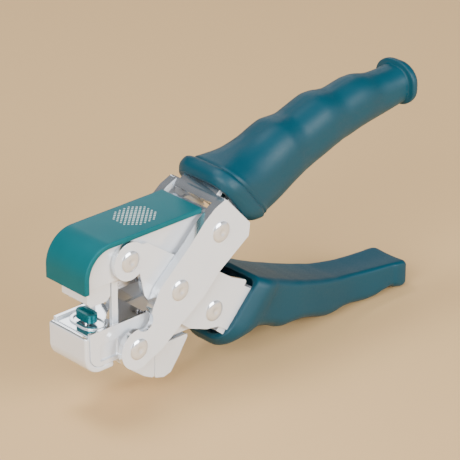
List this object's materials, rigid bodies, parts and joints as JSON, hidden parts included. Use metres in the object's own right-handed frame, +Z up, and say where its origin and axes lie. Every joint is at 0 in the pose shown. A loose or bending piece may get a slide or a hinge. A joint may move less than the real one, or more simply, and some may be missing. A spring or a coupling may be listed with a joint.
{
  "type": "plier stapler",
  "caption": "Hand plier stapler with crossed levers, parallel jaws, a coated cap over the magazine and two moulded grips",
  "frame": {"origin": "palm point on the middle line of the upper grip, in the plane of symmetry", "axes": "+X runs from the jaws back to the ends of the handles, +Y across the tool, +Z up from the lower jaw to the upper jaw"},
  "size_m": [0.1535, 0.0288, 0.0869],
  "materials": {
    "frame_chrome": "bright nickel plate, satin on the flat sides",
    "jaw_chrome": "bright nickel plate",
    "rivet_chrome": "bright nickel plate",
    "inner_steel": "plain rolled steel",
    "spring_steel": "drawn spring wire",
    "staple_wire": "galvanised wire",
    "cap_teal": "satin teal powder coat",
    "anvil_teal": "satin teal coat",
    "grip_upper": "satin moulded teal blue",
    "grip_lower": "satin moulded teal blue"
  },
  "bodies": {
    "upper_lever": {"upper_frame": "frame_chrome", "upper_grip": "grip_upper", "crossing_rivet": "rivet_chrome", "upper_slide_rivet": "rivet_chrome", "lower_jaw_rivet": "rivet_chrome", "slide_washers": "inner_steel", "jaw_washers": "inner_steel", "pivot_spacer": "inner_steel"},
    "lower_lever": {"lower_frame": "frame_chrome", "lower_grip": "grip_lower", "upper_jaw_rivet": "rivet_chrome", "lower_slide_rivet": "rivet_chrome", "return_spring": "spring_steel"},
    "upper_jaw": {"top_cap": "cap_teal", "upper_channel": "jaw_chrome", "post_stop": "inner_steel", "driver_blade": "inner_steel"},
    "magazine": {"nose": "jaw_chrome", "magazine_rail": "inner_steel", "staple_strip": "staple_wire", "staple_core": "inner_steel"},
    "pusher": {"pusher": "inner_steel"},
    "lower_jaw": {"lower_strip": "jaw_chrome", "tray": "jaw_chrome", "guide_posts": "jaw_chrome", "anvil_ring": "jaw_chrome", "housing_front": "jaw_chrome", "rear_cover": "jaw_chrome", "anvil_spring": "spring_steel"},
    "anvil": {"anvil_button": "anvil_teal", "anvil_stem": "inner_steel"}
  },
  "joints": [
    {"name": "squeeze", "type": "hinge", "parent": "upper_lever", "child": "lower_lever", "pos_m": [-0.073, 0, -0.0323], "axis": [0, -1, 0], "range_deg": [0, 13.2], "stiffness_Nm_per_rad": 2, "springref_deg": -20.05},
    {"name": "lower_jaw_pivot", "type": "hinge", "parent": "upper_lever", "child": "lower_jaw", "pos_m": [-0.0911, 0, -0.0475], "axis": [0, -1, 0], "range_deg": [0, 6.6]},
    {"name": "upper_jaw_pivot", "type": "hinge", "parent": "lower_lever", "child": "upper_jaw", "pos_m": [-0.0911, 0, -0.0171], "axis": [0, 1, 0], "range_deg": [0, 6.6]},
    {"name": "magazine_slide", "type": "slide", "parent": "upper_jaw", "child": "magazine", "axis": [0, 0, 1], "range_m": [0, 0.0025], "stiffness_N_per_m": 800, "springref_m": -0.003},
    {"name": "pusher_slide", "type": "slide", "parent": "magazine", "child": "pusher", "axis": [1, 0, 0], "range_m": [0, 0.0045], "stiffness_N_per_m": 120, "springref_m": -0.01},
    {"name": "anvil_slide", "type": "slide", "parent": "lower_jaw", "child": "anvil", "axis": [0, 0, -1], "range_m": [0, 0.001], "stiffness_N_per_m": 1500, "springref_m": -0.001, "deforming": ["anvil_spring"]}
  ],
  "couplings": [
    {"joint": "lower_jaw_pivot", "follows": "squeeze", "ratio": 0.5},
    {"joint": "upper_jaw_pivot", "follows": "squeeze", "ratio": 0.5}
  ]
}
